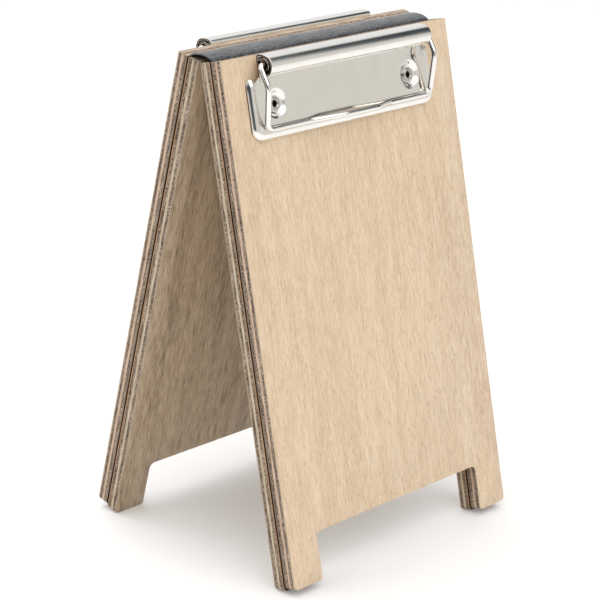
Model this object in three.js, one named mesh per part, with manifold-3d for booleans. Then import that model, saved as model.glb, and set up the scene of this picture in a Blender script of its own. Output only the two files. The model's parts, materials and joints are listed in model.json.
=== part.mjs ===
// Table-top tent menu holder: two plywood leaves joined along their top by a leatherette hinge strap,
// each leaf carrying a rolled-sheet board clip with a sprung wire bail. Millimetres, +Z up, X across
// the leaves, front leaf towards -Y. The origin is on the table, under the middle of the holder.
import * as THREE from "three";
import { mergeVertices } from "three/addons/utils/BufferGeometryUtils.js";
import Module from "manifold-3d";

const wasm = await Module();
wasm.setup();

// ---- driving dimensions ----
const WIDTH = 127;
const LEAF_HEIGHT = 206;
const HALF_ANGLE = THREE.MathUtils.degToRad(13.1);
const HINGE_GAP = 1; // between the two inner faces at their top edge

const VENEER = 0.55;
const CROSSBAND = 1.25;
const CORE = 1.4;
const GLUE_LINE = 0.05;
const SEAM = 0.8; // between a leaf's inner and outer panel

const FOOT_WIDTH = 15.6;
const FOOT_HEIGHT = 20.2;
const FOOT_OUTER_RADIUS = 2;
const FOOT_INNER_RADIUS = 1.5;
const ARCH_RADIUS = 2.5;

const STRAP = 0.6;
const STRAP_TAIL = 12; // how far each tail reaches down into its seam
const STRAP_LEFT_INSET = 1;
const STRAP_RIGHT_INSET = 4.4;
const STRAP_RISE = 1.8; // middle of the arch above the two seam mouths
const STRAP_FULLNESS = 0.5; // 0 for a pointed arch, towards 1 for a squarer one

const GLUE_SHEET = 0.7;
const GLUE_INSET = 1;
const HEAD_CLEARANCE = 0.6; // round each rivet head in the adhesive sheet

const SHEET = 0.8; // clip sheet metal
const CLIP_OFFSET = { front: -2.1, back: -0.6 }; // clip centre from each leaf's centre line
const CLIP_REST = 0.1; // clearance under the clip's rim
const PAN_WIDTH = 101.6;
const PAN_BOTTOM = -32.5; // heights on the clip are measured from the leaf's top edge
const PAN_HEIGHT = 2.6;
const RIM_WALL = 0.6; // upright part of the rim, below its curved shoulder
const RIM_SHOULDER = 2.2;
const RIM_STEPS = 3;
const PAN_CORNER = 4.8;
const ROLL_LENGTH = 90;
// The top edge of each ear as the sheet is cut, from its rim in to the end of the roll.
const EAR_EDGE = [
  [51, -10.9],
  [50.4, -9.6],
  [50, -8.9],
  [49.3, -8.7],
  [48.7, -9.3],
  [48.2, -9.8],
  [47.2, -9.7],
  [46.3, -9.2],
  [45.1, -8.1],
];
// The roll's centre line, as [out, drop]: up behind the wire, over and down in front of it, and
// round once more inside.
const ROLL_LINE = [
  [2.2, -10],
  [2.2, -6],
  [2.2, -1.6],
  [3, -0.3],
  [4.6, -0.35],
  [7, -1],
  [8.7, -2.2],
  [9.4, -4.3],
  [8.7, -6.6],
  [6.7, -7.8],
  [4.6, -7.1],
  [3.7, -4.9],
  [4.2, -2.7],
  [6, -2],
  [7.6, -3.2],
  [7.6, -5],
  [6.5, -6],
];

const RIVET_SPACING = 75.5;
const RIVET_SHIFT = -0.5; // middle of the two rivets from the clip's centre
const RIVET_DROP = -19.2;
const RIVET_HOLE = 1.8;
const RIVET_SHANK = 1.65;
const RIVET_BORE = 1.15;
const RIVET_HEAD = 2.6;
const RIVET_CLEARANCE = 0.1;
const HEAD_THICKNESS = 0.55;
const CURL_HEIGHT = 0.75; // of the rolled-over open end
const DIMPLE_TOP = 5.5;
const DIMPLE_FLOOR = 3.4;
const DIMPLE_DEPTH = 1.5;

const WIRE = 2.3;
const WIRE_SIDES = 12;
const BAIL_AXIS = { drop: -4, out: 5.6 };
const BAIL_HALF = 47;
const BAIL_STUB = 9; // wire inside each end of the roll
const BAIL_BEND = 1.8;
const KNEE = { drop: -12.5, out: 8.6, bend: 6 };
const BAR_DROP = -28.3;
const BAR_HALF = 46;
const BAR_BEND = 3.2;
const BAR_CLEARANCE = 0.15;
const HUMP_FOOT = 22;
const HUMP_TOP = 9.5;
const HUMP_RISE = 5.6;
const HUMP_BEND = 8;

// ---- how finely curves are stepped, and how far cutting tools reach ----
const ROUND_SIDES = 24;
const ROLL_STEPS = 64;
const BEND_STEPS = 5;
const CURL_STEPS = 6;
const STRAP_STEPS = 8;
const OUTLINE_STEPS = 3;
const WELD_DISTANCE = 1e-4;
const CUT_REACH = 20;
const CUT_OVERSHOOT = 0.001;
const ROLL_OVERLAP = 0.4; // between the pan and the roll, where they join

// ---- derived ----
const PLIES = [
  { name: "back_veneer", thickness: VENEER },
  { name: "back_crossband", thickness: CROSSBAND },
  { name: "core", thickness: CORE },
  { name: "face_crossband", thickness: CROSSBAND },
  { name: "face_veneer", thickness: VENEER },
];
const PANEL = PLIES.reduce((sum, ply) => sum + ply.thickness, 0) + (PLIES.length - 1) * GLUE_LINE;
const LEAF = 2 * PANEL + SEAM;
const RIVETS = [
  { side: "left", x: RIVET_SHIFT - RIVET_SPACING / 2 },
  { side: "right", x: RIVET_SHIFT + RIVET_SPACING / 2 },
];

// ---- materials ----
const material = (color, roughness, metalness) =>
  new THREE.MeshStandardMaterial({ color, roughness, metalness });
const veneerWood = () => material(0xd8bd9a, 0.6, 0);
const crossbandWood = () => material(0x8a7a6c, 0.8, 0);
const coreWood = () => material(0xcfa98a, 0.75, 0);
const glue = () => material(0x3a2414, 0.6, 0);
const leatherette = () => material(0x3a3d42, 0.55, 0);
const nickel = () => material(0xd6d2c8, 0.2, 1);
const PLY_MATERIAL = {
  back_veneer: veneerWood,
  back_crossband: crossbandWood,
  core: coreWood,
  face_crossband: crossbandWood,
  face_veneer: veneerWood,
};

// ---- helpers ----
function node(name, geometry, finish) {
  const mesh = new THREE.Mesh(geometry, finish);
  mesh.name = name;
  return mesh;
}

function toSolid(geometry) {
  const bare = geometry.clone();
  bare.deleteAttribute("normal");
  bare.deleteAttribute("uv");
  const merged = mergeVertices(bare, WELD_DISTANCE);
  return new wasm.Manifold(
    new wasm.Mesh({
      numProp: 3,
      vertProperties: new Float32Array(merged.attributes.position.array),
      triVerts: new Uint32Array(merged.index.array),
    }),
  );
}

function toGeometry(solid) {
  const mesh = solid.getMesh();
  const geometry = new THREE.BufferGeometry();
  geometry.setAttribute("position", new THREE.BufferAttribute(mesh.vertProperties, 3));
  geometry.setIndex(new THREE.BufferAttribute(mesh.triVerts, 1));
  return geometry.toNonIndexed();
}

function slab(shape, depth, curveSegments) {
  return new THREE.ExtrudeGeometry(shape, { depth, bevelEnabled: false, curveSegments });
}

// A closed outline that follows a centre line at half the thickness on each side.
function stripShape(centreLine, thickness) {
  const last = centreLine.length - 1;
  const side = (sign) =>
    centreLine.map((point, i) => {
      const before = centreLine[Math.max(i - 1, 0)];
      const after = centreLine[Math.min(i + 1, last)];
      const along = after.clone().sub(before).normalize();
      const across = new THREE.Vector2(-along.y, along.x);
      return point.clone().addScaledVector(across, (sign * thickness) / 2);
    });
  return new THREE.Shape([...side(1), ...side(-1).reverse()]);
}

// ---- leaf panels ----
// The outline of a leaf standing on its two feet: x across, y up from the foot ends.
function leafOutline(inset = 0, top = LEAF_HEIGHT) {
  const x = WIDTH / 2 - inset;
  const inner = WIDTH / 2 - FOOT_WIDTH + inset;
  const arch = FOOT_HEIGHT + inset;
  const outerRadius = FOOT_OUTER_RADIUS;
  const innerRadius = FOOT_INNER_RADIUS;
  const shape = new THREE.Shape();
  shape.moveTo(-x, top);
  shape.lineTo(-x, inset + outerRadius);
  shape.absarc(-x + outerRadius, inset + outerRadius, outerRadius, Math.PI, 1.5 * Math.PI, false);
  shape.lineTo(-inner - innerRadius, inset);
  shape.absarc(-inner - innerRadius, inset + innerRadius, innerRadius, -Math.PI / 2, 0, false);
  shape.lineTo(-inner, arch - ARCH_RADIUS);
  shape.absarc(-inner + ARCH_RADIUS, arch - ARCH_RADIUS, ARCH_RADIUS, Math.PI, Math.PI / 2, true);
  shape.lineTo(inner - ARCH_RADIUS, arch);
  shape.absarc(inner - ARCH_RADIUS, arch - ARCH_RADIUS, ARCH_RADIUS, Math.PI / 2, 0, true);
  shape.lineTo(inner, inset + innerRadius);
  shape.absarc(inner + innerRadius, inset + innerRadius, innerRadius, Math.PI, 1.5 * Math.PI, false);
  shape.lineTo(x - outerRadius, inset);
  shape.absarc(x - outerRadius, inset + outerRadius, outerRadius, -Math.PI / 2, 0, false);
  shape.lineTo(x, top);
  shape.closePath();
  return shape;
}

// Round holes on the rivets' axes, each as two half turns.
function addRivetHoles(shape, prefix, radius) {
  for (const rivet of RIVETS) {
    const x = CLIP_OFFSET[prefix] + rivet.x;
    const y = LEAF_HEIGHT + RIVET_DROP;
    const hole = new THREE.Path();
    hole.absarc(x, y, radius, 0, Math.PI, false);
    hole.absarc(x, y, radius, Math.PI, 2 * Math.PI, false);
    shape.holes.push(hole);
  }
  return shape;
}

function addPanel(leaf, prefix, side, start) {
  let z = start;
  for (const ply of PLIES) {
    const shape = leafOutline();
    if (side === "outer") {
      addRivetHoles(shape, prefix, RIVET_HOLE);
    }
    const geometry = slab(shape, ply.thickness, OUTLINE_STEPS);
    const mesh = node(`${prefix}_${side}_panel_${ply.name}`, geometry, PLY_MATERIAL[ply.name]());
    mesh.position.z = z;
    leaf.add(mesh);
    z += ply.thickness + GLUE_LINE;
  }
}

// The adhesive sheet between the panels stops below the strap's tail and clears the rivet heads.
function addGlueSheet(leaf, prefix) {
  const shape = leafOutline(GLUE_INSET, LEAF_HEIGHT - STRAP_TAIL - GLUE_INSET);
  addRivetHoles(shape, prefix, RIVET_HEAD + HEAD_CLEARANCE);
  const mesh = node(`${prefix}_glue_sheet`, slab(shape, GLUE_SHEET, OUTLINE_STEPS), glue());
  mesh.position.z = PANEL + (SEAM - GLUE_SHEET) / 2;
  leaf.add(mesh);
}

// ---- hinge strap ----
// Up out of one seam, over both inner panels in a low arch, and down into the other seam.
function hingeStrap() {
  const up = new THREE.Vector2(Math.sin(HALF_ANGLE), Math.cos(HALF_ANGLE));
  const out = new THREE.Vector2(-Math.cos(HALF_ANGLE), Math.sin(HALF_ANGLE));
  const mouth = new THREE.Vector2(-HINGE_GAP / 2, LEAF_HEIGHT * Math.cos(HALF_ANGLE));
  mouth.addScaledVector(out, PANEL + SEAM / 2);
  const tailEnd = mouth.clone().addScaledVector(up, -STRAP_TAIL);
  const crown = new THREE.Vector2(0, mouth.y + STRAP_RISE);
  const half = new THREE.CubicBezierCurve(
    mouth,
    mouth.clone().addScaledVector(up, STRAP_FULLNESS * STRAP_RISE),
    new THREE.Vector2(STRAP_FULLNESS * mouth.x, crown.y),
    crown,
  );
  const left = [tailEnd, ...half.getPoints(STRAP_STEPS)];
  const right = left.slice(0, -1).reverse();
  const mirrored = right.map((point) => new THREE.Vector2(-point.x, point.y));
  const length = WIDTH - STRAP_LEFT_INSET - STRAP_RIGHT_INSET;
  const geometry = slab(stripShape([...left, ...mirrored], STRAP), length, 1);
  geometry.rotateX(Math.PI / 2);
  geometry.rotateZ(Math.PI / 2);
  geometry.translate(-WIDTH / 2 + STRAP_LEFT_INSET, 0, 0);
  return node("hinge_strap", geometry, leatherette());
}

// ---- board clip ----
// The pan's outline, with its sides carried on past the top, where earCut trims them.
function panOutline() {
  const x = PAN_WIDTH / 2;
  const shape = new THREE.Shape();
  shape.moveTo(-x, CUT_REACH);
  shape.lineTo(-x, PAN_BOTTOM + PAN_CORNER);
  shape.absarc(-x + PAN_CORNER, PAN_BOTTOM + PAN_CORNER, PAN_CORNER, Math.PI, 1.5 * Math.PI, false);
  shape.lineTo(x - PAN_CORNER, PAN_BOTTOM);
  shape.absarc(x - PAN_CORNER, PAN_BOTTOM + PAN_CORNER, PAN_CORNER, -Math.PI / 2, 0, false);
  shape.lineTo(x, CUT_REACH);
  shape.closePath();
  return shape;
}

// A block of the pan's outline, inset all round, with its shoulder rounded over.
function roundedPan(inset, height, shoulder) {
  const rise = height - RIM_WALL;
  const geometry = new THREE.ExtrudeGeometry(panOutline(), {
    depth: CUT_REACH + RIM_WALL,
    bevelEnabled: true,
    bevelSize: shoulder,
    bevelThickness: rise,
    bevelOffset: -shoulder - inset,
    bevelSegments: RIM_STEPS,
    curveSegments: OUTLINE_STEPS,
  });
  geometry.translate(0, 0, -CUT_REACH);
  return toSolid(geometry);
}

// Everything above the ears' top edges and the start of the roll.
function earCut() {
  const across = PAN_WIDTH;
  const startOfRoll = ROLL_LINE[0][1] + ROLL_OVERLAP;
  const corners = [[across, EAR_EDGE[0][1]], ...EAR_EDGE, [ROLL_LENGTH / 2, startOfRoll]];
  const left = corners.map(([x, y]) => new THREE.Vector2(-x, y));
  const right = corners.map(([x, y]) => new THREE.Vector2(x, y)).reverse();
  const top = [new THREE.Vector2(across, 2 * CUT_REACH), new THREE.Vector2(-across, 2 * CUT_REACH)];
  const geometry = slab(new THREE.Shape([...left, ...right, ...top]), 2 * CUT_REACH, 1);
  geometry.translate(0, 0, -CUT_REACH);
  return toSolid(geometry);
}

function cone(bottomRadius, topRadius, bottom, top, x) {
  const geometry = new THREE.CylinderGeometry(topRadius, bottomRadius, top - bottom, ROUND_SIDES);
  geometry.rotateX(Math.PI / 2);
  geometry.translate(x, RIVET_DROP, (top + bottom) / 2);
  return toSolid(geometry);
}

function clipRoll() {
  const centreLine = new THREE.SplineCurve(ROLL_LINE.map(([out, drop]) => new THREE.Vector2(out, drop)));
  const geometry = slab(stripShape(centreLine.getPoints(ROLL_STEPS), SHEET), ROLL_LENGTH, 1);
  geometry.rotateY(-Math.PI / 2);
  geometry.translate(ROLL_LENGTH / 2, 0, 0);
  return toSolid(geometry);
}

function clipPlate() {
  let pan = roundedPan(0, PAN_HEIGHT, RIM_SHOULDER);
  pan = pan.subtract(roundedPan(SHEET, PAN_HEIGHT - SHEET, RIM_SHOULDER - SHEET / 2));
  const floor = PAN_HEIGHT - DIMPLE_DEPTH;
  const middle = PAN_HEIGHT - SHEET / 2;
  for (const rivet of RIVETS) {
    pan = pan.add(cone(DIMPLE_FLOOR + SHEET, DIMPLE_TOP + SHEET, floor - SHEET, middle, rivet.x));
    pan = pan.subtract(cone(DIMPLE_FLOOR, DIMPLE_TOP, floor, PAN_HEIGHT + CUT_OVERSHOOT, rivet.x));
    pan = pan.subtract(cone(RIVET_HOLE, RIVET_HOLE, -SHEET, PAN_HEIGHT, rivet.x));
  }
  const underside = new THREE.BoxGeometry(2 * PAN_WIDTH, 2 * PAN_WIDTH, 2 * CUT_REACH);
  underside.translate(0, 0, CLIP_REST - CUT_REACH);
  pan = pan.subtract(toSolid(underside)).subtract(earCut());
  return toGeometry(pan.add(clipRoll()));
}

// A curve that is stepped at its own points, so straight runs stay one step long.
class WirePath extends THREE.CatmullRomCurve3 {
  getUtoTmapping(u) {
    return u;
  }
}

// Points along straight runs between corners, each corner turned on an arc-like curve.
function filletedPoints(corners) {
  const points = [corners[0].at];
  for (let i = 1; i < corners.length - 1; i += 1) {
    const { at, radius } = corners[i];
    const toBefore = corners[i - 1].at.clone().sub(at).normalize();
    const toAfter = corners[i + 1].at.clone().sub(at).normalize();
    const reach = radius / Math.tan(toBefore.angleTo(toAfter) / 2);
    const bend = new THREE.QuadraticBezierCurve3(
      at.clone().addScaledVector(toBefore, reach),
      at,
      at.clone().addScaledVector(toAfter, reach),
    );
    points.push(...bend.getPoints(BEND_STEPS));
  }
  points.push(corners[corners.length - 1].at);
  return points;
}

function wireBail() {
  const barOut = PAN_HEIGHT + WIRE / 2 + BAR_CLEARANCE;
  const corner = (x, drop, out, radius) => ({ at: new THREE.Vector3(x, drop, out), radius });
  const left = [
    corner(-ROLL_LENGTH / 2 + BAIL_STUB, BAIL_AXIS.drop, BAIL_AXIS.out, 0),
    corner(-BAIL_HALF, BAIL_AXIS.drop, BAIL_AXIS.out, BAIL_BEND),
    corner(-BAIL_HALF, KNEE.drop, KNEE.out, KNEE.bend),
    corner(-BAR_HALF, BAR_DROP, barOut, BAR_BEND),
    corner(-HUMP_FOOT, BAR_DROP, barOut, HUMP_BEND),
    corner(-HUMP_TOP, BAR_DROP, barOut + HUMP_RISE, HUMP_BEND),
  ];
  const right = left.map(({ at, radius }) => corner(-at.x, at.y, at.z, radius)).reverse();
  const points = filletedPoints([...left, ...right]);
  const section = new THREE.Shape();
  section.absarc(0, 0, WIRE / 2, 0, 2 * Math.PI, false);
  return new THREE.ExtrudeGeometry(section, {
    steps: points.length - 1,
    extrudePath: new WirePath(points, false, "centripetal"),
    curveSegments: WIRE_SIDES / 2,
  });
}

// A semi-tubular rivet: flat head behind the outer panel, open end rolled over on the dimple's floor.
function tubularRivet() {
  const seat = PAN_HEIGHT - DIMPLE_DEPTH + RIVET_CLEARANCE;
  const back = -PANEL - RIVET_CLEARANCE;
  const curl = (RIVET_HEAD - RIVET_BORE) / 2;
  const rolledOver = [];
  for (let i = 0; i <= CURL_STEPS; i += 1) {
    const angle = (i / CURL_STEPS) * Math.PI;
    rolledOver.push([RIVET_BORE + curl + curl * Math.cos(angle), seat + CURL_HEIGHT * Math.sin(angle)]);
  }
  const profile = [
    [0, back - HEAD_THICKNESS],
    [RIVET_HEAD, back - HEAD_THICKNESS],
    [RIVET_HEAD, back],
    [RIVET_SHANK, back],
    [RIVET_SHANK, seat],
    ...rolledOver,
    [RIVET_BORE, back + HEAD_THICKNESS],
    [0, back + HEAD_THICKNESS],
  ].map(([radius, height]) => new THREE.Vector2(radius, height));
  const geometry = new THREE.LatheGeometry(profile, ROUND_SIDES);
  geometry.rotateX(Math.PI / 2);
  return geometry;
}

function addClip(leaf, prefix) {
  const clip = new THREE.Group();
  clip.position.set(CLIP_OFFSET[prefix], LEAF_HEIGHT, LEAF);
  clip.add(node(`${prefix}_clip_plate`, clipPlate(), nickel()));
  clip.add(node(`${prefix}_clip_bail`, wireBail(), nickel()));
  for (const rivet of RIVETS) {
    const mesh = node(`${prefix}_${rivet.side}_rivet`, tubularRivet(), nickel());
    mesh.position.set(rivet.x, RIVET_DROP, 0);
    clip.add(mesh);
  }
  leaf.add(clip);
}

// ---- assembly ----
// A leaf lies in its own x-y plane, inner face at z = 0, and is then leaned against the other.
function leaf(prefix) {
  const panels = new THREE.Group();
  addPanel(panels, prefix, "inner", 0);
  addGlueSheet(panels, prefix);
  addPanel(panels, prefix, "outer", PANEL + SEAM);
  addClip(panels, prefix);
  panels.rotation.x = Math.PI / 2 - HALF_ANGLE;
  panels.position.y = -(LEAF_HEIGHT * Math.sin(HALF_ANGLE) + HINGE_GAP / 2);
  const side = new THREE.Group();
  side.add(panels);
  return side;
}

const group = new THREE.Group();
const front = leaf("front");
const back = leaf("back");
back.rotation.z = Math.PI;
group.add(front, back, hingeStrap());

export default group;
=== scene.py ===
import json
import math

import bmesh
import bpy
import numpy as np
from mathutils import Matrix, Vector, noise


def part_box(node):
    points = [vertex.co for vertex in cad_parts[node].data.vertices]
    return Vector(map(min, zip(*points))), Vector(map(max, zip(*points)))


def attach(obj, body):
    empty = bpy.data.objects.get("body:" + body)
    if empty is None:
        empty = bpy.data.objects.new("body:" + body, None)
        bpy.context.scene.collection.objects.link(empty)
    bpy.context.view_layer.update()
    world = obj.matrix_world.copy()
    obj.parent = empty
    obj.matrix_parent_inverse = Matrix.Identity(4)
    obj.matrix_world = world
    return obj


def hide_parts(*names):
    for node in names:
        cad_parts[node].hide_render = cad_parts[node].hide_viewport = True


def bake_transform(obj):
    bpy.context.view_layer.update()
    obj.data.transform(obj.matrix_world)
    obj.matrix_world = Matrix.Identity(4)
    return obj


# The looks of a table-top tent menu holder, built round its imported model. Metres, +Z up. Each leaf's
# pieces are made in the leaf's own frame: x across the leaf, y up it with 0 at its top edge, z out of
# it with 0 at its inner face. A clip's pieces are drawn in millimetres from the clip's own origin, on
# the outer face at the leaf's top edge, and scaled when they are placed.
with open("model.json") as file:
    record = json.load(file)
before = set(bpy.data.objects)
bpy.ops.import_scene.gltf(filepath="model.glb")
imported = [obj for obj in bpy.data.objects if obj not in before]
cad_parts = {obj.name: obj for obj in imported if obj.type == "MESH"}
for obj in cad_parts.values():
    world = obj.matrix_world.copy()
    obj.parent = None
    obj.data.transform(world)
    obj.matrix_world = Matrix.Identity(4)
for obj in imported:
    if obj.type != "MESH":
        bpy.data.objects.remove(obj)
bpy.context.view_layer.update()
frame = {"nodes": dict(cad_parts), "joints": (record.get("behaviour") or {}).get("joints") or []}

MM = 0.001
LEAVES = ("front", "back")

# ---- the leaves' frames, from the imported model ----
FOLD = next(joint for joint in frame["joints"] if joint["name"] == "leaf_fold")
HALF_ANGLE = math.radians(-FOLD["range_deg"][0]) / 2
TOP = FOLD["pos_m"][2]
LEAF_HEIGHT = TOP / math.cos(HALF_ANGLE)
HALF_GAP = -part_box("front_inner_panel_back_veneer")[1].y
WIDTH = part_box("front_inner_panel_back_veneer")[1].x * 2


def leaf_frame(turn):
    lean = Matrix.Rotation(math.pi / 2 - HALF_ANGLE, 4, "X")
    return Matrix.Rotation(turn, 4, "Z") @ Matrix.Translation((0, -HALF_GAP, TOP)) @ lean


FRAMES = {"front": leaf_frame(0), "back": leaf_frame(math.pi)}


def span(leaf, node):
    """Lowest and highest corner of a CAD node in its leaf's frame."""
    inverse = FRAMES[leaf].inverted()
    points = np.array([inverse @ vertex.co for vertex in frame["nodes"][node].data.vertices])
    return Vector(points.min(axis=0)), Vector(points.max(axis=0))


LEAF = span("front", "front_outer_panel_face_veneer")[1].z

# ---- panels, in metres ----
FOOT_WIDTH = 15.6 * MM
FOOT_HEIGHT = 20.2 * MM
FOOT_OUTER_RADIUS = 2 * MM
FOOT_INNER_RADIUS = 1.5 * MM
ARCH_RADIUS = 2.5 * MM
OUTER_PANEL_LIFT = 0.9 * MM  # the outer panels' feet end a little short of the inner panels'
GLUE_INSET = 1.5 * MM
STRAP_TAIL = 12 * MM
PLIES = ("back_veneer", "back_crossband", "core", "face_crossband", "face_veneer")

# ---- board clip, in millimetres ----
SHEET = 0.8
HALF_SHEET = SHEET / 2
PAN_HALF = 50.8
PAN_BOTTOM = -32.5
PAN_HEIGHT = 2.6
PAN_CORNER = 4.8
CLIP_REST = 0.1
ROLL_HALF = 45
RIVETS = {"left": -38.25, "right": 37.25}
RIVET_DROP = -19.2
RIVET_HEAD = 2.6
RIVET_SHANK = 1.65
RIVET_BORE = 1.15
WIRE_RADIUS = 1.15
BAR_CLEARANCE = 0.15


# ---- mesh helpers ----
WELD = 1e-7
POLE_RADIUS = 1e-6
POLE_WELD = 1e-5
WIRE_DOME = [(0.02, 0.99), (0.5, 0.85), (0.85, 0.5)]  # width and rise, as shares of a wire's radius
CUT_EDGE_SEGMENTS = 2
CUT_EDGE_ANGLE = math.radians(60)


def mesh_of(shape, name, smooth_below=40):
    """The finished mesh of a bmesh, smooth except at edges sharper than an angle in degrees."""
    bmesh.ops.remove_doubles(shape, verts=shape.verts, dist=WELD)
    bmesh.ops.recalc_face_normals(shape, faces=shape.faces)
    mesh = bpy.data.meshes.new(name)
    shape.to_mesh(mesh)
    shape.free()
    mesh.shade_smooth()
    mesh.set_sharp_from_angle(angle=math.radians(smooth_below))
    return mesh


def rounded_outline(corners, spacing, arc_steps, closed=True):
    """Points along straight runs between (x, y, radius) corners, each turned on an arc."""
    count = len(corners)
    bends = []
    for i, (x, y, radius) in enumerate(corners):
        corner = Vector((x, y))
        if radius == 0 or (not closed and i in (0, count - 1)):
            bends.append([corner])
            continue
        before = (Vector(corners[i - 1][:2]) - corner).normalized()
        after = (Vector(corners[(i + 1) % count][:2]) - corner).normalized()
        half = before.angle(after) / 2
        centre = corner + (before + after).normalized() * radius / math.sin(half)
        start = corner + before * radius / math.tan(half) - centre
        turn = start.angle_signed(corner + after * radius / math.tan(half) - centre)
        steps = max(arc_steps, math.ceil(abs(turn) * radius / spacing))
        bends.append([
            centre + Matrix.Rotation(-turn * k / steps, 2) @ start for k in range(steps + 1)
        ])
    points = []
    for i, bend in enumerate(bends):
        points.extend(bend)
        if i == count - 1 and not closed:
            break
        start, end = bend[-1], bends[(i + 1) % count][0]
        steps = max(1, round((end - start).length / spacing))
        points.extend(start.lerp(end, k / steps) for k in range(1, steps))
    return points


def outward(points, closed=True):
    """Unit normals of an anticlockwise outline, pointing out of it."""
    count = len(points)
    normals = []
    for i in range(count):
        if closed:
            along = points[(i + 1) % count] - points[i - 1]
        else:
            along = points[min(i + 1, count - 1)] - points[max(i - 1, 0)]
        normals.append(Vector((along.y, -along.x)).normalized())
    return normals


def wall(shape, rings, closed=True):
    """Quads between rings of points that match one to one. Returns the rings' vertices."""
    made = [[shape.verts.new(point) for point in ring] for ring in rings]
    for low, high in zip(made, made[1:]):
        count = len(low)
        for i in range(count if closed else count - 1):
            j = (i + 1) % count
            shape.faces.new((low[i], low[j], high[j], high[i]))
    return made


def cap(shape, loops):
    """Fills the flat region inside the first loop of vertices and outside the others."""
    edges = []
    for loop in loops:
        for i, vertex in enumerate(loop):
            other = loop[(i + 1) % len(loop)]
            edges.append(shape.edges.get((vertex, other)) or shape.edges.new((vertex, other)))
    bmesh.ops.triangle_fill(shape, use_beauty=True, edges=edges)


def catmull_rom(points, steps):
    """A smooth curve through every point, with a number of steps from each to the next."""
    ends = [points[0] * 2 - points[1], *points, points[-1] * 2 - points[-2]]
    curve = []
    for a, b, c, d in zip(ends, ends[1:], ends[2:], ends[3:]):
        for k in range(steps):
            t = k / steps
            curve.append(0.5 * (2 * b + (c - a) * t + (2 * a - 5 * b + 4 * c - d) * t * t
                                + (3 * b - a - 3 * c + d) * t ** 3))
    curve.append(points[-1].copy())
    return curve


def circle(x, y, radius, sides):
    angles = [2 * math.pi * k / sides for k in range(sides)]
    return [Vector((x + radius * math.cos(a), y + radius * math.sin(a))) for a in angles]


def lathe(profile, sides):
    """A solid of revolution about z from (radius, height) points that start and end on the axis."""
    shape = bmesh.new()
    rings = [[Vector((p.x, p.y, height)) for p in circle(0, 0, max(radius, POLE_RADIUS), sides)]
             for radius, height in profile]
    wall(shape, rings)
    bmesh.ops.remove_doubles(shape, verts=shape.verts, dist=POLE_WELD)
    return shape


def tube(path, radius, sides):
    """A round wire along a path, with domed ends."""
    shape = bmesh.new()
    rings = []
    across = Vector((0, 1, 0))
    count = len(path)
    for i, point in enumerate(path):
        along = (path[min(i + 1, count - 1)] - path[max(i - 1, 0)]).normalized()
        across = (across - along * across.dot(along)).normalized()
        other = along.cross(across)

        def ring(scale, shift):
            centre = point + along * shift
            return [centre + (across * c.x + other * c.y) * scale for c in circle(0, 0, radius, sides)]

        if i == 0:
            rings.extend(ring(scale, -radius * rise) for scale, rise in WIRE_DOME)
        rings.append(ring(1, 0))
        if i == count - 1:
            rings.extend(ring(scale, radius * rise) for scale, rise in reversed(WIRE_DOME))
    made = wall(shape, rings)
    shape.faces.new(made[0])
    shape.faces.new(made[-1])
    return shape


def thicken(obj, thickness, bevel, even=False):
    """Makes an object's middle surface into a sheet with bevelled cut edges."""
    solid = obj.modifiers.new("thickness", "SOLIDIFY")
    solid.thickness = thickness
    solid.offset = 0
    solid.use_even_offset = even
    edges = obj.modifiers.new("cut_edges", "BEVEL")
    edges.width = bevel
    edges.segments = CUT_EDGE_SEGMENTS
    edges.limit_method = "ANGLE"
    edges.angle_limit = CUT_EDGE_ANGLE
    depsgraph = bpy.context.evaluated_depsgraph_get()
    mesh = bpy.data.meshes.new_from_object(obj.evaluated_get(depsgraph))
    obj.modifiers.clear()
    obj.data = mesh
    obj.data.shade_smooth()


def place(obj, body, nodes):
    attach(obj, body)
    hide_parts(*nodes)


def new_piece(leaf, node, mesh, material):
    """An object in its leaf's frame that stands for a CAD node of the same name."""
    obj = bpy.data.objects.new(f"{node}_finished", mesh)
    obj.data.materials.append(material)
    bpy.context.scene.collection.objects.link(obj)
    obj.matrix_world = FRAMES[leaf]
    return obj


# ---- material helpers ----
def add(tree, kind, inputs=None, **settings):
    node = tree.nodes.new(kind)
    for key, value in settings.items():
        setattr(node, key, value)
    for key, value in (inputs or {}).items():
        if isinstance(value, bpy.types.NodeSocket):
            tree.links.new(value, node.inputs[key])
        else:
            node.inputs[key].default_value = value
    return node


def material_tree(name, **shader_values):
    """A new material: itself, its node tree, its shader and its object coordinates."""
    material = bpy.data.materials.new(name)
    material.use_nodes = True
    tree = material.node_tree
    shader = tree.nodes["Principled BSDF"]
    for key, value in shader_values.items():
        shader.inputs[key.replace("_", " ")].default_value = value
    coordinates = tree.nodes.new("ShaderNodeTexCoord")
    return material, tree, shader, coordinates


def grain(tree, coordinates, size, detail=3, roughness=0.55, distortion=0.0):
    """Noise whose features have that size in metres along x, y and z."""
    scaled = add(tree, "ShaderNodeMapping", {"Vector": coordinates.outputs["Object"],
                                             "Scale": [1 / length for length in size]})
    texture = add(tree, "ShaderNodeTexNoise", {
        "Vector": scaled.outputs["Vector"], "Scale": 1.0, "Detail": detail,
        "Roughness": roughness, "Distortion": distortion})
    return texture.outputs["Fac"]


def ramp(tree, factor, *stops):
    """Colours at places along a factor, as (place, (r, g, b)) stops."""
    node = add(tree, "ShaderNodeValToRGB", {"Fac": factor})
    elements = node.color_ramp.elements
    while len(elements) < len(stops):
        elements.new(1.0)
    for element, (place_at, colour) in zip(elements, stops):
        element.position = place_at
        element.color = (*colour, 1.0)
    return node.outputs["Color"]


def mask(tree, factor, low, high, strength=1.0):
    """0 below low, strength above high, smooth between."""
    node = add(tree, "ShaderNodeMapRange", {"Value": factor, "From Min": low, "From Max": high,
                                            "To Min": 0.0, "To Max": strength},
               interpolation_type="SMOOTHSTEP")
    return node.outputs["Result"]


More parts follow.
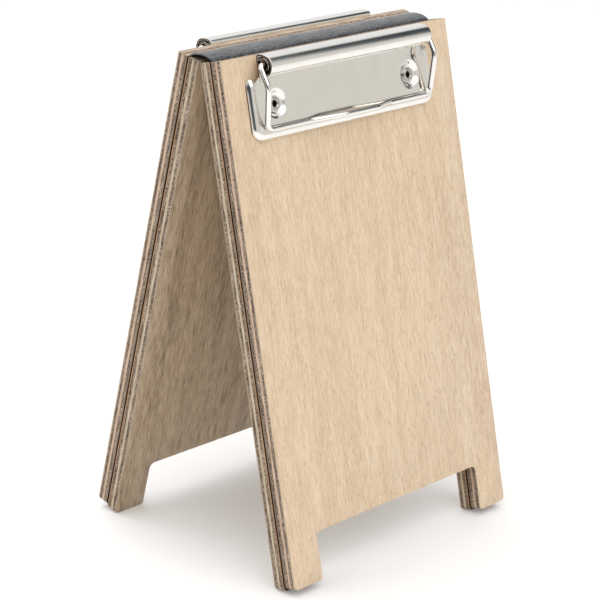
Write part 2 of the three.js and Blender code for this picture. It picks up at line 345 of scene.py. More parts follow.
def mix(tree, factor, first, second):
    """Two colours mixed by a factor; a colour is a socket or (r, g, b)."""
    node = tree.nodes.new("ShaderNodeMix")
    node.data_type = "RGBA"
    for index, value in ((0, factor), (6, first), (7, second)):
        if isinstance(value, bpy.types.NodeSocket):
            tree.links.new(value, node.inputs[index])
        else:
            node.inputs[index].default_value = value if index == 0 else (*value, 1.0)
    return node.outputs[2]


def maths(tree, operation, first, second=0.0):
    node = tree.nodes.new("ShaderNodeMath")
    node.operation = operation
    for index, value in enumerate((first, second)):
        if isinstance(value, bpy.types.NodeSocket):
            tree.links.new(value, node.inputs[index])
        else:
            node.inputs[index].default_value = value
    return node.outputs[0]


def weighted(tree, first, second, share):
    """The sum of two values, with that share of the first."""
    rest = maths(tree, "MULTIPLY", second, 1 - share)
    return maths(tree, "ADD", maths(tree, "MULTIPLY", first, share), rest)


def bump(tree, shader, height, distance):
    node = add(tree, "ShaderNodeBump", {"Height": height, "Distance": distance})
    tree.links.new(node.outputs["Normal"], shader.inputs["Normal"])


# ---- wood ----
GREY_FLECK = (0.57, 0.46, 0.34)
PORE = (0.36, 0.26, 0.17)
SAWN_SIDE = (0.32, 0.24, 0.16)
STAIN = (0.03, 0.017, 0.009)
END_GRAIN = ((0.028, 0.021, 0.016), (0.185, 0.14, 0.105), (0.60, 0.48, 0.375))


def long_grain(tree, coordinates, dark, middle, light):
    """Straight fine-grained veneer, running up the leaf. Returns its colour and its height."""
    streak = grain(tree, coordinates, (0.6 * MM, 8 * MM, 0.6 * MM), 6, 0.72, 0.2)
    band = grain(tree, coordinates, (7 * MM, 90 * MM, 7 * MM), 2, 0.5, 0.3)
    grey = grain(tree, coordinates, (1.1 * MM, 14 * MM, 1.1 * MM), 4, 0.65, 0.2)
    pore = grain(tree, coordinates, (0.24 * MM, 2.6 * MM, 0.24 * MM), 1)
    tone = weighted(tree, streak, band, 0.78)
    colour = ramp(tree, tone, (0.38, dark), (0.5, middle), (0.62, light))
    colour = mix(tree, mask(tree, grey, 0.5, 0.66, 0.4), colour, GREY_FLECK)
    pores = mask(tree, pore, 0.56, 0.7, 0.5)
    colour = mix(tree, pores, colour, PORE)
    return colour, maths(tree, "SUBTRACT", streak, pores)


def end_grain(tree, coordinates, light=1.0):
    """The sawn end of a ply: grey-brown, speckled with open pores and torn fibres."""
    speck = grain(tree, coordinates, (0.5 * MM, 0.95 * MM, 0.42 * MM), 4, 0.8)
    patch = grain(tree, coordinates, (2 * MM, 9 * MM, 1.2 * MM), 3)
    stops = [(place_at, tuple(light * part for part in colour))
             for place_at, colour in zip((0.41, 0.5, 0.6), END_GRAIN)]
    return ramp(tree, weighted(tree, speck, patch, 0.75), *stops), speck


def facing(tree, coordinates, axis, low=0.55, high=0.8):
    """How squarely a surface faces along one axis of its leaf, from 0 to 1."""
    parts = add(tree, "ShaderNodeSeparateXYZ", {"Vector": coordinates.outputs["Normal"]})
    return mask(tree, maths(tree, "ABSOLUTE", parts.outputs[axis]), low, high)


def ply_border(tree, coordinates, width):
    """A ragged line along both glue lines of a ply's sawn edge."""
    across = add(tree, "ShaderNodeAttribute", attribute_name="across").outputs["Fac"]
    off_middle = maths(tree, "ABSOLUTE", maths(tree, "SUBTRACT", across, 0.5))
    off_middle = maths(tree, "MULTIPLY", off_middle, 2.0)
    ragged = grain(tree, coordinates, (1.0 * MM, 2.5 * MM, 1.0 * MM), 3)
    reach = maths(tree, "ADD", off_middle, maths(tree, "MULTIPLY", ragged, 0.8))
    return mask(tree, reach, 1.3 - width, 1.5 - width)


def veneer_material(name, dark, middle, light, stain=None):
    """Veneer. One that is glued on carries the adhesive's stain on its flat faces."""
    material, tree, shader, coordinates = material_tree(name, Roughness=0.55, Specular_IOR_Level=0.3)
    colour, height = long_grain(tree, coordinates, dark, middle, light)
    if stain:
        colour = mix(tree, facing(tree, coordinates, "Z"), colour, stain)
    ends, _ = end_grain(tree, coordinates, 1.3)
    colour = mix(tree, maths(tree, "MULTIPLY", facing(tree, coordinates, "Y"), 0.75), colour, ends)
    sides = maths(tree, "MULTIPLY", facing(tree, coordinates, "X"), 0.45)
    colour = mix(tree, sides, colour, SAWN_SIDE)
    tree.links.new(colour, shader.inputs["Base Color"])
    tree.links.new(mask(tree, height, 0.8, 0.2, 0.6), shader.inputs["Roughness"])
    bump(tree, shader, height, 0.06 * MM)
    return material


def crossband_material():
    material, tree, shader, coordinates = material_tree("crossband", Roughness=0.8, Specular_IOR_Level=0.2)
    ends, height = end_grain(tree, coordinates)
    lengths = grain(tree, coordinates, (12 * MM, 0.5 * MM, 0.5 * MM), 4, 0.6)
    sawn = ramp(tree, lengths, (0.35, (0.27, 0.205, 0.155)), (0.6, (0.62, 0.50, 0.39)))
    colour = mix(tree, facing(tree, coordinates, "X"), sawn, ends)
    tree.links.new(colour, shader.inputs["Base Color"])
    bump(tree, shader, height, 0.15 * MM)
    return material


def core_material(name, dark, middle, light):
    material, tree, shader, coordinates = material_tree(name, Roughness=0.7, Specular_IOR_Level=0.25)
    streak = grain(tree, coordinates, (0.5 * MM, 7 * MM, 0.35 * MM), 5, 0.65, 0.3)
    colour = ramp(tree, streak, (0.32, dark), (0.5, middle), (0.66, light))
    ends, _ = end_grain(tree, coordinates, 1.2)
    colour = mix(tree, facing(tree, coordinates, "Y"), colour, ends)
    colour = mix(tree, maths(tree, "MULTIPLY", ply_border(tree, coordinates, 0.25), 0.8), colour, ends)
    tree.links.new(colour, shader.inputs["Base Color"])
    bump(tree, shader, streak, 0.08 * MM)
    return material


def adhesive_material():
    material, tree, shader, coordinates = material_tree("adhesive", Roughness=0.6, Specular_IOR_Level=0.3)
    along = grain(tree, coordinates, (3 * MM, 7 * MM, 1 * MM), 4, 0.6)
    colour = ramp(tree, along, (0.4, (0.012, 0.007, 0.004)), (0.56, (0.03, 0.014, 0.007)),
                  (0.7, (0.12, 0.05, 0.018)))
    tree.links.new(colour, shader.inputs["Base Color"])
    bump(tree, shader, along, 0.2 * MM)
    return material


# ---- leatherette and nickel ----
PEBBLE = 0.55 * MM
CUT_STEEL_AND_SIDE_SHADE = (0.13, 0.105, 0.08)  # the bare steel of the sheared and cut ends, and painted shade on the other sides that face along x
DULL_FILM = 0.93  # how bright the plate is where its film is thickest


def leatherette_material():
    material, tree, shader, coordinates = material_tree(
        "leatherette", Roughness=0.42, Specular_IOR_Level=0.55, Coat_Weight=0.12, Coat_Roughness=0.35)
    scaled = add(tree, "ShaderNodeMapping", {"Vector": coordinates.outputs["Object"],
                                             "Scale": [1 / PEBBLE] * 3})
    pebbles = add(tree, "ShaderNodeTexVoronoi", {"Vector": scaled.outputs["Vector"], "Scale": 1.0,
                                                 "Randomness": 0.85}, feature="F1")
    pebble = pebbles.outputs["Distance"]
    mottle = grain(tree, coordinates, (9 * MM, 4 * MM, 4 * MM), 2)
    # The pebbles' tops are painted light grey-blue and the hollows between them near black: painted highlight
    # and painted shade of the grain's relief, mixed with a random mottle.
    shade = weighted(tree, pebble, mottle, 0.75)
    colour = ramp(tree, shade, (0.25, (0.17, 0.178, 0.19)), (0.42, (0.07, 0.075, 0.083)),
                  (0.6, (0.016, 0.017, 0.019)))
    tree.links.new(colour, shader.inputs["Base Color"])
    tree.links.new(mask(tree, mottle, 0.9, 0.1, 0.62), shader.inputs["Roughness"])
    bump(tree, shader, maths(tree, "SUBTRACT", 1.0, pebble), 0.10 * MM)
    return material


def nickel_material(name, colour, smooth, rough, wave):
    """Bright nickel plate. Its gloss varies a little, and rolling has left it very slightly uneven."""
    material, tree, shader, coordinates = material_tree(name, Metallic=1.0)
    film = grain(tree, coordinates, (9 * MM, 9 * MM, 9 * MM), 4, 0.6)
    rubbed = grain(tree, coordinates, (18 * MM, 0.35 * MM, 0.35 * MM), 3)
    dull = tuple(DULL_FILM * part for part in colour)
    tint = mix(tree, mask(tree, film, 0.35, 0.65, 0.5), colour, dull)
    # Surfaces that face squarely along x turn dark brown: the sheet's cut ends, where it is their bare steel,
    # and the foot of the rim's side walls, the wire's sides and the rivets' sides, where it is painted shade.
    ends = facing(tree, coordinates, "X", 0.95, 0.99)
    tree.links.new(mix(tree, ends, tint, CUT_STEEL_AND_SIDE_SHADE), shader.inputs["Base Color"])
    gloss = add(tree, "ShaderNodeMapRange", {"Value": maths(tree, "MULTIPLY", film, rubbed),
                                             "From Min": 0.12, "From Max": 0.42,
                                             "To Min": smooth, "To Max": rough})
    tree.links.new(gloss.outputs["Result"], shader.inputs["Roughness"])
    bump(tree, shader, film, wave)
    return material


# Woods go from dark to light. Nickels have a colour, two roughnesses and the depth of their waves.
VENEER = veneer_material("veneer", (0.62, 0.455, 0.305), (0.735, 0.565, 0.395), (0.815, 0.655, 0.48))
# The leaves' inner faces: darker and more contrasty than the outer veneer, partly a coarser veneer and partly
# painted shade of the inside between the leaves.
SHADED_INNER_VENEER = veneer_material(
    "shaded_inner_veneer", (0.20, 0.14, 0.087), (0.43, 0.325, 0.22), (0.66, 0.53, 0.38))
GLUED_VENEER = veneer_material(
    "glued_veneer", (0.24, 0.08, 0.015), (0.50, 0.20, 0.045), (0.64, 0.33, 0.11), STAIN)
# The outer panels' back veneer, beside the seam: its near-black wood is painted shade of the seam; the stain
# on its flat faces is the adhesive's.
SEAM_SHADED_VENEER = veneer_material(
    "seam_shaded_veneer", (0.04, 0.025, 0.016), (0.11, 0.07, 0.045), (0.22, 0.15, 0.11), STAIN)
CROSSBAND = crossband_material()
INNER_CORE = core_material("inner_core", (0.30, 0.23, 0.15), (0.52, 0.42, 0.29), (0.66, 0.56, 0.42))
OUTER_CORE = core_material("outer_core", (0.34, 0.235, 0.16), (0.56, 0.40, 0.285), (0.68, 0.51, 0.385))
ADHESIVE = adhesive_material()
LEATHERETTE = leatherette_material()
PLATE_NICKEL = nickel_material("plate_nickel", (0.83, 0.81, 0.77), 0.07, 0.15, 0.015 * MM)
WIRE_NICKEL = nickel_material("wire_nickel", (0.84, 0.82, 0.79), 0.07, 0.16, 0.01 * MM)
RIVET_NICKEL = nickel_material("rivet_nickel", (0.46, 0.45, 0.42), 0.22, 0.36, 0.03 * MM)


# ---- panels ----
OUTLINE_SPACING = 0.9 * MM
OUTLINE_ARC_STEPS = 8
CHIP_LENGTH = 1.3 * MM
CHIP_DEPTH = 0.9 * MM
CHIP_THRESHOLD = 0.36  # the noise above which a chip starts
CHIP_ABOVE_ARCH = 1 * MM
CHIP_INSIDE_FEET = 3 * MM
PLY_EDGES = {  # how deep a saw has torn a ply's edge, and the size of the tears
    "veneer": (0.05 * MM, 0.9 * MM), "crossband": (0.16 * MM, 0.55 * MM), "core": (0.07 * MM, 1.4 * MM),
}
EDGE_ROUND = 0.14 * MM
GLUE_ROUND = 0.04 * MM
PLY_SEED, LEAF_SEED, OUTER_SEED, GLUE_SEED = 10, 3.7, 50, 80
BORE_SIDES = 24
BORE_ROOM = 1.08  # a panel's bore for a rivet, as a multiple of the rivet's shank
BEAD_LEVELS = (-1.0, -0.6, 0.0, 0.6, 1.0)  # heights in a glue sheet, from its middle, in half thicknesses
BEAD = 0.25 * MM
GLUE_WANDER = 0.9 * MM
GLUE_WANDER_LENGTH = 6 * MM


def leaf_outline(lift, inset=0.0, top=0.0):
    x = WIDTH / 2 - inset
    inner = WIDTH / 2 - FOOT_WIDTH + inset
    bottom = -LEAF_HEIGHT + lift + inset
    arch = -LEAF_HEIGHT + FOOT_HEIGHT + inset
    corners = [
        (-x, top, 0), (-x, bottom, FOOT_OUTER_RADIUS), (-inner, bottom, FOOT_INNER_RADIUS),
        (-inner, arch, ARCH_RADIUS), (inner, arch, ARCH_RADIUS), (inner, bottom, FOOT_INNER_RADIUS),
        (x, bottom, FOOT_OUTER_RADIUS), (x, top, 0),
    ]
    return rounded_outline(corners, OUTLINE_SPACING, OUTLINE_ARC_STEPS)


def sawn_in(point, height, amount, size, seed):
    """How far a saw and torn fibres have eaten into an edge there."""
    place_at = Vector((point.x / size, point.y / size, height / size + seed))
    return amount * (0.5 + 0.5 * noise.noise(place_at))


def chipped(point, seed):
    """A few short chips where a face veneer's lower edge broke out."""
    above = point.y > -LEAF_HEIGHT + FOOT_HEIGHT + CHIP_ABOVE_ARCH
    if above or abs(point.x) > WIDTH / 2 - FOOT_WIDTH - CHIP_INSIDE_FEET:
        return 0.0
    place_at = Vector((point.x / CHIP_LENGTH, seed, 0.5))
    return CHIP_DEPTH * max(0.0, noise.noise(place_at) - CHIP_THRESHOLD)


def ply_mesh(name, low, high, kind, lift, holes, seed):
    """One ply: a sawn outline with a rough wall, its across attribute 0 to 1 through the ply."""
    points = leaf_outline(lift)
    normals = outward(points)
    amount, size = PLY_EDGES[kind]
    thickness = high - low
    out_low = EDGE_ROUND if name.endswith("inner_panel_back_veneer") else GLUE_ROUND
    out_high = EDGE_ROUND if name.endswith("outer_panel_face_veneer") else GLUE_ROUND
    chips = kind == "veneer" and max(out_low, out_high) == EDGE_ROUND
    levels = [  # height in the ply, and how far its wall is rounded in there
        (0, out_low), (out_low * 0.5, out_low * 0.3), (thickness * 0.34, 0), (thickness * 0.66, 0),
        (thickness - out_high * 0.5, out_high * 0.3), (thickness, out_high),
    ]
    shape = bmesh.new()
    rings = []
    for height, inset in levels:
        ring = []
        for point, normal in zip(points, normals):
            eaten = inset + sawn_in(point, height, amount, size, seed)
            if chips:
                eaten += chipped(point, seed)
            at = point - normal * eaten
            ring.append(Vector((at.x, at.y, low + height)))
        rings.append(ring)
    outer = wall(shape, rings)
    bottoms, tops = [outer[0]], [outer[-1]]
    for x, y, radius in holes:
        bore = [Vector((p.x, p.y, 0)) for p in circle(x, y, radius, BORE_SIDES)]
        rim = wall(shape, [[p + Vector((0, 0, z)) for p in bore] for z in (low, high)])
        bottoms.append(rim[0])
        tops.append(rim[1])
    cap(shape, bottoms)
    cap(shape, tops)
    mesh = mesh_of(shape, name, 50)
    across = mesh.attributes.new("across", "FLOAT", "POINT")
    across.data.foreach_set("value", [(vertex.co.z - low) / thickness for vertex in mesh.vertices])
    return mesh


def ply_material(panel, ply):
    if ply.endswith("crossband"):
        return CROSSBAND
    if ply == "core":
        return INNER_CORE if panel == "inner" else OUTER_CORE
    if (panel, ply) == ("outer", "face_veneer"):
        return VENEER
    if (panel, ply) == ("inner", "back_veneer"):
        return SHADED_INNER_VENEER
    return GLUED_VENEER if panel == "inner" else SEAM_SHADED_VENEER


def build_panels(leaf, clip_x):
    for panel, lift in (("inner", 0.0), ("outer", OUTER_PANEL_LIFT)):
        holes = []
        if panel == "outer":
            bore = RIVET_SHANK * MM * BORE_ROOM
            holes = [(clip_x + x * MM, RIVET_DROP * MM, bore) for x in RIVETS.values()]
        for index, ply in enumerate(PLIES):
            node = f"{leaf}_{panel}_panel_{ply}"
            low, high = span(leaf, node)
            seed = PLY_SEED * index + LEAF_SEED * LEAVES.index(leaf) + (OUTER_SEED if panel == "outer" else 0)
            kind = ply.split("_")[-1]
            mesh = ply_mesh(node, low.z, high.z, kind, lift, holes, seed)
            obj = new_piece(leaf, node, mesh, ply_material(panel, ply))
            place(obj, f"{leaf}_leaf", [node])


def build_glue_sheet(leaf):
    """The adhesive between the panels: its edge wanders, and its squeezed-out bead is set back."""
    node = f"{leaf}_glue_sheet"
    low, high = span(leaf, node)
    points = leaf_outline(OUTER_PANEL_LIFT, GLUE_INSET, -STRAP_TAIL - GLUE_INSET)
    normals = outward(points)
    middle = (low.z + high.z) / 2
    half = (high.z - low.z) / 2
    shape = bmesh.new()
    rings = []
    for level in BEAD_LEVELS:
        ring = []
        for point, normal in zip(points, normals):
            bead = BEAD * (1 - level * level)
            back = sawn_in(point, 0, GLUE_WANDER, GLUE_WANDER_LENGTH, GLUE_SEED)
            at = point + normal * (bead - back)
            ring.append(Vector((at.x, at.y, middle + level * half)))
        rings.append(ring)
    made = wall(shape, rings)
    cap(shape, [made[0]])
    cap(shape, [made[-1]])
    obj = new_piece(leaf, node, mesh_of(shape, node), ADHESIVE)
    place(obj, f"{leaf}_leaf", [node])


# ---- board clip ----
def clip_frame(leaf, clip_x):
    return Matrix.Translation((clip_x, 0, LEAF)) @ Matrix.Scale(MM, 4)


LEVEL = PAN_HEIGHT - HALF_SHEET
RIM_SPACING = 0.8
RIM_ARC_STEPS = 12
RIM_PROFILE = [  # inset from the outline, height, and how far up the rim's end reaches there
    (0.0, CLIP_REST, -10.9), (0.0, 0.35, -10.7), (0.05, 0.6, -10.4), (0.22, 0.95, -9.95), (0.48, 1.32, -9.4),
    (0.8, 1.63, -8.98), (1.15, 1.86, -8.76), (1.5, 2.02, -8.75), (1.85, 2.12, -9.0), (2.2, 2.18, -9.4),
    (2.6, LEVEL, -9.75), (2.95, LEVEL, -9.8),
]
LOBE_DROP = 0.85  # the share of its height that the rim loses at its ends
LOBE_LENGTH = 3.2  # the length over which it does so
NOTCH = [(47, -9.65), (46.3, -9.2), (45.7, -8.6), (45.2, -8.15)]  # from the rim's end to the roll
DIMPLE_SIDES = 48
DIMPLE_RINGS = [  # radius and depth
    (6.7, 0.0), (6.1, 0.0), (5.8, 0.03), (5.45, 0.14), (5.1, 0.36), (4.7, 0.7), (4.3, 1.04), (3.95, 1.27),
    (3.6, 1.42), (3.2, 1.49), (2.6, 1.5), (1.8, 1.5),
]
SHEARED_EDGE = 0.14 * MM
ROLL_START = -10.8
ROLL_STEPS = 8
ROLL_INSETS = (0, 0.5, 12)  # short columns at the roll's ends keep its shading straight
ROLL_POINTS = [  # height over the panel and y, from the flat round to the inner winding's end
    (2.2, ROLL_START), (2.2, -6), (2.2, -1.6), (3, -0.3), (4.6, -0.35), (7, -1), (8.7, -2.2), (9.4, -4.3),
    (8.7, -6.6), (6.7, -7.8), (4.6, -7.1), (3.7, -4.9), (4.2, -2.7), (6, -2), (7.6, -3.2), (7.6, -5),
    (6.5, -6),
]


def plate_mesh(name):
    """The middle surface of the clip's sheet: rim, flat, two dimples and the roll."""
    shape = bmesh.new()
    x = PAN_HALF - HALF_SHEET
    bottom = PAN_BOTTOM + HALF_SHEET
    top = RIM_PROFILE[0][2]
    corner = PAN_CORNER - HALF_SHEET
    edge = rounded_outline([(-x, top, 0), (-x, bottom, corner), (x, bottom, corner), (x, top, 0)],
                           RIM_SPACING, RIM_ARC_STEPS, closed=False)
    normals = outward(edge, closed=False)
    rings = []
    for inset, height, end in RIM_PROFILE:
        inside = [point - normal * inset for point, normal in zip(edge, normals)]
        inside[0].y = inside[-1].y = end
        share = LOBE_DROP * (1 - inset / RIM_PROFILE[-1][0])
        ring = []
        for p in inside:
            near = max(0.0, 1 - (end - p.y) / LOBE_LENGTH)
            ring.append(Vector((p.x, p.y, height - (height - CLIP_REST) * share * near * near)))
        rings.append(ring)
    rim = wall(shape, rings, closed=False)
    right_notch = [shape.verts.new((x, y, LEVEL)) for x, y in NOTCH]
    left_notch = [shape.verts.new((-x, y, LEVEL)) for x, y in reversed(NOTCH)]
    roll_curve = catmull_rom([Vector((out, drop)) for out, drop in ROLL_POINTS], ROLL_STEPS)
    half = [ROLL_HALF - inset for inset in ROLL_INSETS]
    columns = half + [-x for x in reversed(half)]
    roll = wall(shape, [[Vector((x, p.y, p.x)) for x in columns] for p in roll_curve], closed=False)
    loops = [rim[-1] + right_notch + roll[0] + left_notch]
    for rivet_x in RIVETS.values():
        dimple = wall(shape, [
            [Vector((p.x, p.y, LEVEL - depth)) for p in circle(rivet_x, RIVET_DROP, radius, DIMPLE_SIDES)]
            for radius, depth in DIMPLE_RINGS
        ])
        loops.append(dimple[0])
    cap(shape, loops)
    return mesh_of(shape, name, 60)


def build_plate(leaf, clip_x):
    node = f"{leaf}_clip_plate"
    mesh = plate_mesh(node)
    obj = new_piece(leaf, node, mesh, PLATE_NICKEL)
    mesh.transform(clip_frame(leaf, clip_x))
    thicken(obj, SHEET * MM, SHEARED_EDGE, even=True)
    obj.data.set_sharp_from_angle(angle=math.radians(55))
    place(obj, f"{leaf}_leaf", [node])


WIRE_SIDES = 20
BEND_STEPS = 10
PIVOT_DROP, PIVOT_OUT = -4, 5.6
BAR_DROP = -28.3
BAR_OUT = PAN_HEIGHT + WIRE_RADIUS + BAR_CLEARANCE
HUMP_RISE = 5.6
BAIL_HALF_PATH = [  # x, drop, out and bend radius, from inside the roll to the middle of the bar
    (-36, PIVOT_DROP, PIVOT_OUT, 0), (-47, PIVOT_DROP, PIVOT_OUT, 1.8), (-47, -12.5, 8.6, 6),
    (-46, BAR_DROP, BAR_OUT, 3.2), (-22, BAR_DROP, BAR_OUT, 8), (-9.5, BAR_DROP, BAR_OUT + HUMP_RISE, 8),
]


def bent_path(corners, steps):
    """Points along a wire that is bent round each corner."""
    points = [Vector(corners[0][:3])]
    for before, corner, after in zip(corners, corners[1:], corners[2:]):
        at = Vector(corner[:3])
        back = (Vector(before[:3]) - at).normalized()
        on = (Vector(after[:3]) - at).normalized()
        reach = corner[3] / math.tan(back.angle(on) / 2)
        start, end = at + back * reach, at + on * reach
        for k in range(steps + 1):
            t = k / steps
            points.append(start * (1 - t) ** 2 + at * 2 * t * (1 - t) + end * t * t)
    points.append(Vector(corners[-1][:3]))
    return points


def build_bail(leaf, clip_x):
    node = f"{leaf}_clip_bail"
    mirrored = [(-x, drop, out, radius) for x, drop, out, radius in reversed(BAIL_HALF_PATH)]
    path = bent_path(BAIL_HALF_PATH + mirrored, BEND_STEPS)
    mesh = mesh_of(tube(path, WIRE_RADIUS, WIRE_SIDES), node, 60)
    mesh.transform(clip_frame(leaf, clip_x))
    obj = new_piece(leaf, node, mesh, WIRE_NICKEL)
    place(obj, f"{leaf}_bail", [node])


RIVET_SIDES = 36
RIVET_BACK = 0.55  # thickness of the flat head
RIVET_CURL = 0.75  # height of the rolled-over rim
RIVET_FLOOR = 1.0  # how far above the back of the head the bore ends
CURL_STEPS = 12


def rivet_mesh(name, low, high):
    """A tubular rivet in millimetres: flat head behind, tube, and a rolled-over open end in front."""
    curl = (RIVET_HEAD - RIVET_BORE) / 2
    middle = RIVET_BORE + curl
    rolled = [(middle + curl * math.cos(a), high - RIVET_CURL + RIVET_CURL * math.sin(a))
              for a in (math.pi * k / CURL_STEPS for k in range(CURL_STEPS + 1))]
    under = high - RIVET_CURL - 0.1
    profile = [(0, low), (RIVET_HEAD - 0.15, low), (RIVET_HEAD, low + 0.15),
               (RIVET_HEAD, low + RIVET_BACK - 0.1), (RIVET_HEAD - 0.1, low + RIVET_BACK),
               (RIVET_SHANK, low + RIVET_BACK), (RIVET_SHANK, under), (RIVET_HEAD - 0.2, under), *rolled,
               (RIVET_BORE - 0.05, high - 1.2), (RIVET_BORE - 0.05, low + RIVET_FLOOR + 0.2),
               (RIVET_BORE - 0.25, low + RIVET_FLOOR), (0, low + RIVET_FLOOR)]
    return mesh_of(lathe(profile, RIVET_SIDES), name, 50)


def build_rivet(leaf, side, clip_x):
    node = f"{leaf}_{side}_rivet"
    low, high = span(leaf, node)
    mesh = rivet_mesh(node, (low.z - LEAF) / MM, (high.z - LEAF) / MM)
    centre = Matrix.Translation((clip_x + RIVETS[side] * MM, RIVET_DROP * MM, LEAF))
    mesh.transform(centre @ Matrix.Scale(MM, 4))
    obj = new_piece(leaf, node, mesh, RIVET_NICKEL)
    place(obj, f"{leaf}_leaf", [node])


# ---- hinge strap ----
STRAP = 0.6 * MM
STRAP_RISE = 1.8 * MM
STRAP_ROW = 1.5 * MM
STRAP_MARGIN = 0.05 * MM
STRAP_EDGE = 0.12 * MM
TAIL_STEPS = 6
ARCH_STEPS = 14
SWAY = 0.12 * MM  # how far the arch wanders up and down, over the lengths that follow
SWAY_ALONG = 14 * MM
SWAY_ACROSS = 5 * MM
SINK = 0.08 * MM  # how far the arch's crown lies under its drawn line


def strap_section():
    """The strap's middle line, from the front tail's end over the arch to the back tail's end."""
    seam = span("front", "front_glue_sheet")
    mouth = FRAMES["front"] @ Vector((0, 0, (seam[0].z + seam[1].z) / 2))
    tail = FRAMES["front"] @ Vector((0, -STRAP_TAIL, (seam[0].z + seam[1].z) / 2))
    mouth, tail = Vector((mouth.y, mouth.z)), Vector((tail.y, tail.z))
    up = (mouth - tail).normalized()
    crown = Vector((0, mouth.y + STRAP_RISE))
    handles = (mouth, mouth + up * 0.5 * STRAP_RISE, Vector((mouth.x * 0.5, crown.y)), crown)
    front = [tail.lerp(mouth, k / TAIL_STEPS) for k in range(TAIL_STEPS)]
    for k in range(ARCH_STEPS + 1):
        t = k / ARCH_STEPS
        weights = ((1 - t) ** 3, 3 * t * (1 - t) ** 2, 3 * t * t * (1 - t), t ** 3)
        front.append(sum((handle * weight for handle, weight in zip(handles, weights)), Vector((0, 0))))
    return front + [Vector((-p.x, p.y)) for p in reversed(front[:-1])]


def build_strap():
    node = "hinge_strap"
    low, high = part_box(node)
    section = strap_section()
    rows = round((high.x - low.x) / STRAP_ROW)
    crown = max(p.y for p in section)
    mouth = crown - STRAP_RISE
    shape = bmesh.new()
    lines = []
    for k in range(rows + 1):
        x = low.x + STRAP_MARGIN + (high.x - low.x - 2 * STRAP_MARGIN) * k / rows
        line = []
        for p in section:
            free = max(0.0, (p.y - mouth) / STRAP_RISE)
            sway = SWAY * noise.noise(Vector((x / SWAY_ALONG, p.x / SWAY_ACROSS, 0.3))) - SINK
            line.append(Vector((x, p.x, p.y + free * sway)))
        lines.append(line)
    wall(shape, lines, closed=False)
    obj = bpy.data.objects.new(f"{node}_finished", mesh_of(shape, node, 80))
    obj.data.materials.append(LEATHERETTE)
    bpy.context.scene.collection.objects.link(obj)
    thicken(obj, STRAP, STRAP_EDGE)
    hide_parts(node)
    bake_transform(obj)


for leaf_name in LEAVES:
    plate_low, plate_high = span(leaf_name, f"{leaf_name}_clip_plate")
    clip_centre = (plate_low.x + plate_high.x) / 2
    build_panels(leaf_name, clip_centre)
    build_glue_sheet(leaf_name)
    build_plate(leaf_name, clip_centre)
    build_bail(leaf_name, clip_centre)
    for rivet_side in RIVETS:
        build_rivet(leaf_name, rivet_side, clip_centre)
build_strap()


# ---- stage ----
CAMERA_PLACE = (-0.601996, -0.570504, 0.382142)
CAMERA_ANGLES = (46.290, 19.257, 1.7536)  # yaw, downward pitch and roll, in degrees
LENS = 128.945
SENSOR_WIDTH = 36
NEAREST = 0.05
FLOOR_HALF = 5
FLOOR_COLOUR = (0.88, 0.88, 0.88, 1)
FLOOR_GLOW = 0.12
LIGHTS = {  # place, size, power and colour
    "key": ((-0.2, -0.8, 1.2), (1.5, 1.1), 7, (1, 0.985, 0.96)),
    "top": ((0, 0.5, 1.3), (1.0, 0.6), 4.5, (1, 1, 1)),
    "edge": ((-1.3, 0.65, 0.5), (0.6, 0.6), 2.5, (1, 1, 1)),
}
LIT_POINT = (0, 0, 0.1)
UP, BACK = (0, 0, 1), (0, 1, 0)
LOW_WALL, HIGH_WALL = (0.78, 0.76, 0.71), (0.72, 0.72, 0.72)
BACK_WALL = (0.93, 0.93, 0.94)
CEILING = (1.0, 0.99, 0.97)
# An opening is where every one of its rows holds: a direction, and the two cosines to it between which
# the opening's edge fades in.
ROLL_OPENING = [(UP, 0.1, 0.3), ((0.68, 0.7, -0.22), -0.1, 0.03), ((0.977, 0, 0.2125), 0.75, 0.835),
                ((0, -1, 0), -0.4, 0.1)]
LEFT_OPENING = [((-0.9, -0.42, 0.03), 0.78, 0.94)]
ROLL_OPENING_COLOUR, LEFT_OPENING_COLOUR = (0.06, 0.07, 0.08), (0.08, 0.09, 0.11)


def build_camera():
    yaw, pitch, roll = (math.radians(angle) for angle in CAMERA_ANGLES)
    forward = Vector((math.sin(yaw) * math.cos(pitch), math.cos(yaw) * math.cos(pitch), -math.sin(pitch)))
    level = Vector((math.cos(yaw), -math.sin(yaw), 0))
    upright = level.cross(forward)
    right = level * math.cos(roll) + upright * math.sin(roll)
    up = upright * math.cos(roll) - level * math.sin(roll)
    camera = bpy.data.objects.new("camera", bpy.data.cameras.new("camera"))
    camera.data.sensor_width = SENSOR_WIDTH
    camera.data.lens = LENS
    camera.data.clip_start = NEAREST
    turned = Matrix((right, up, -forward)).transposed().to_4x4()
    camera.matrix_world = Matrix.Translation(CAMERA_PLACE) @ turned
    bpy.context.scene.collection.objects.link(camera)
    bpy.context.scene.camera = camera


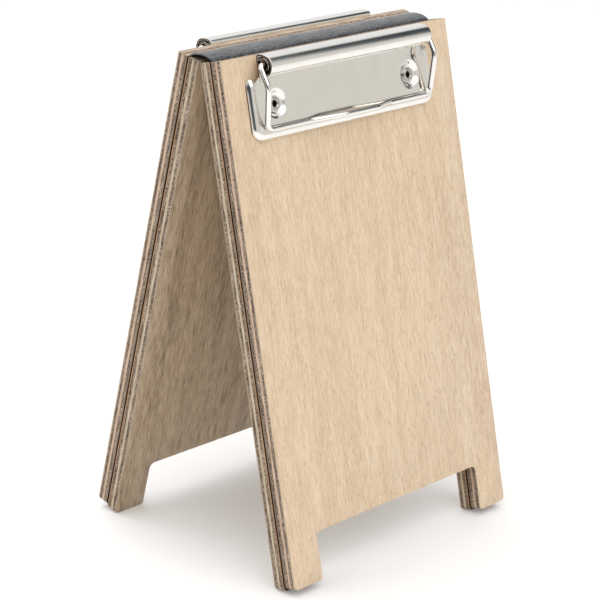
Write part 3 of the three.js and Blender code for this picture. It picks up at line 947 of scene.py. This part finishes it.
def build_floor():
    shape = bmesh.new()
    rows = [[Vector((x, y, 0)) for x in (-FLOOR_HALF, FLOOR_HALF)] for y in (-FLOOR_HALF, FLOOR_HALF)]
    wall(shape, rows, closed=False)
    floor = bpy.data.objects.new("floor", mesh_of(shape, "floor"))
    material, tree, shader, _ = material_tree("pale_floor", Roughness=0.9, Specular_IOR_Level=0.1)
    shader.inputs["Base Color"].default_value = FLOOR_COLOUR
    shader.inputs["Emission Color"].default_value = (1, 1, 1, 1)
    shader.inputs["Emission Strength"].default_value = FLOOR_GLOW
    floor.data.materials.append(material)
    bpy.context.scene.collection.objects.link(floor)


def soft_light(name, place_at, size, power, colour):
    light = bpy.data.objects.new(name, bpy.data.lights.new(name, "AREA"))
    light.data.shape = "RECTANGLE"
    light.data.size, light.data.size_y = size
    light.data.energy = power
    light.data.color = colour
    light.location = place_at
    light.rotation_mode = "QUATERNION"
    light.rotation_quaternion = (Vector(LIT_POINT) - Vector(place_at)).to_track_quat("-Z", "Y")
    bpy.context.scene.collection.objects.link(light)


def build_world():
    """A white tent: warm grey low down, brighter behind, with two dark openings in its walls."""
    world = bpy.data.worlds.new("studio")
    world.use_nodes = True
    tree = world.node_tree
    direction = tree.nodes.new("ShaderNodeTexCoord").outputs["Generated"]

    def towards(aim, low, high):
        """0 to 1 as the cosine between a direction and an aim goes from low to high."""
        dot = add(tree, "ShaderNodeVectorMath", {0: direction, 1: Vector(aim).normalized()},
                  operation="DOT_PRODUCT")
        return mask(tree, dot.outputs["Value"], low, high)

    colour = mix(tree, towards(UP, -0.1, 0.6), LOW_WALL, HIGH_WALL)
    colour = mix(tree, towards(BACK, -0.1, 0.35), colour, BACK_WALL)
    colour = mix(tree, towards(UP, 0.52, 0.8), colour, CEILING)
    for rows, dark in ((ROLL_OPENING, ROLL_OPENING_COLOUR), (LEFT_OPENING, LEFT_OPENING_COLOUR)):
        opening = towards(*rows[0])
        for row in rows[1:]:
            opening = maths(tree, "MULTIPLY", opening, towards(*row))
        colour = mix(tree, opening, colour, dark)
    tree.links.new(colour, tree.nodes["Background"].inputs["Color"])
    bpy.context.scene.world = world


build_camera()
build_floor()
build_world()
for light_name, light_values in LIGHTS.items():
    soft_light(light_name, *light_values)
bpy.context.scene.view_settings.view_transform = "Standard"
